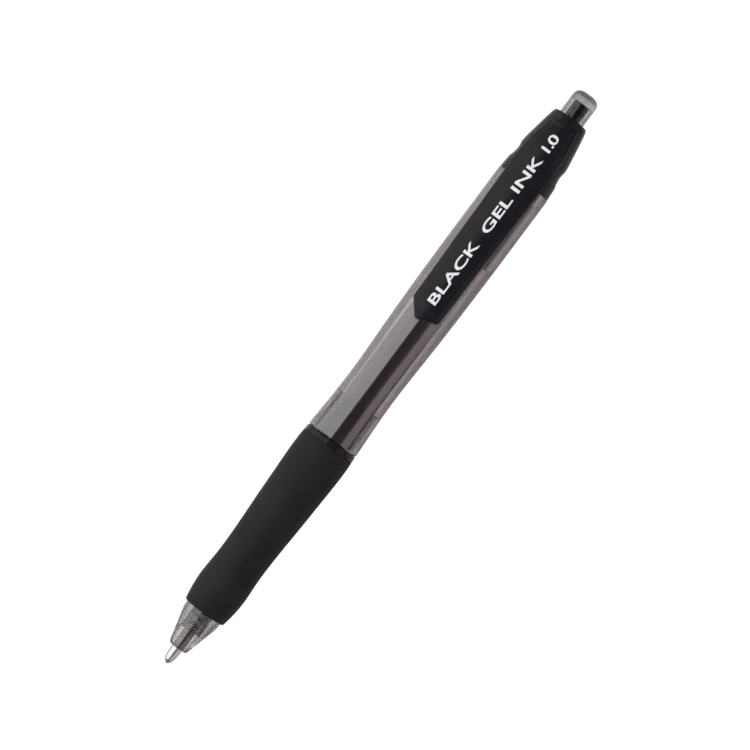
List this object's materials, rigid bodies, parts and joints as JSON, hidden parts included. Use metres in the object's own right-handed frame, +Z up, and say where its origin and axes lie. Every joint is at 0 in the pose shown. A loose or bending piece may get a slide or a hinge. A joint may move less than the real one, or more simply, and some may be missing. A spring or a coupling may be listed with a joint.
{
  "type": "retractable gel pen",
  "caption": "Retractable gel pen: smoke translucent barrel, waisted rubber grip, black cap with a pocket clip and a push button that moves the refill in and out.",
  "frame": {"origin": "on the table, under the middle of the pen's length, with the tip out", "axes": "+X runs along the pen from the writing tip to the push button, +Z is up through the pocket clip, +Y completes a right-handed frame"},
  "size_m": [0.1416, 0.0119, 0.0141],
  "materials": {
    "smoke_plastic": "polished, smoke-grey translucent polystyrene",
    "clear_plastic": "polished, clear plastic with a light smoke tint",
    "clear_tube": "clear extruded polypropylene",
    "clear_grease": "clear yellowish gel",
    "grip_rubber": "matt black elastomer with a fine texture",
    "black_plastic": "polished black",
    "white_plastic": "natural white, as moulded",
    "tip_steel": "turned stainless steel or nickel silver",
    "spring_steel": "drawn spring wire",
    "carbide": "polished carbide",
    "black_ink": "black gel ink"
  },
  "bodies": {
    "barrel": {"front_barrel": "smoke_plastic", "grip": "grip_rubber", "joint_ring": "black_plastic", "rear_barrel": "smoke_plastic", "cam_sleeve": "white_plastic", "top_cap": "black_plastic", "return_spring": "spring_steel"},
    "button": {"push_button": "clear_plastic", "plunger": "black_plastic"},
    "refill": {"tip_cone": "tip_steel", "ball_spring": "spring_steel", "tip_holder": "white_plastic", "ink_tube": "clear_tube", "ink_column": "black_ink", "grease_follower": "clear_grease", "tail_plug": "white_plastic"},
    "rotor": {"rotor": "white_plastic"},
    "clip": {"clip": "black_plastic"},
    "ball": {"ball": "carbide"}
  },
  "joints": [
    {"name": "button_slide", "type": "slide", "parent": "barrel", "child": "button", "axis": [1, 0, 0], "range_m": [-0.0012, 0.0048]},
    {"name": "refill_slide", "type": "slide", "parent": "barrel", "child": "refill", "axis": [1, 0, 0], "range_m": [-0.0012, 0.0048], "deforming": ["return_spring"]},
    {"name": "rotor_turn", "type": "hinge", "parent": "refill", "child": "rotor", "pos_m": [0.0332, 0, 0.00595], "axis": [1, 0, 0], "continuous": true},
    {"name": "clip_flex", "type": "hinge", "parent": "barrel", "child": "clip", "pos_m": [0.0641, 0, 0.01005], "axis": [0, 1, 0], "range_deg": [0, 3.5], "stiffness_Nm_per_rad": 2},
    {"name": "ball_roll", "type": "hinge", "parent": "refill", "child": "ball", "pos_m": [-0.0703, 0, 0.00595], "axis": [0, 1, 0], "continuous": true}
  ],
  "couplings": [
    {"joint": "refill_slide", "follows": "button_slide", "ratio": 1}
  ]
}
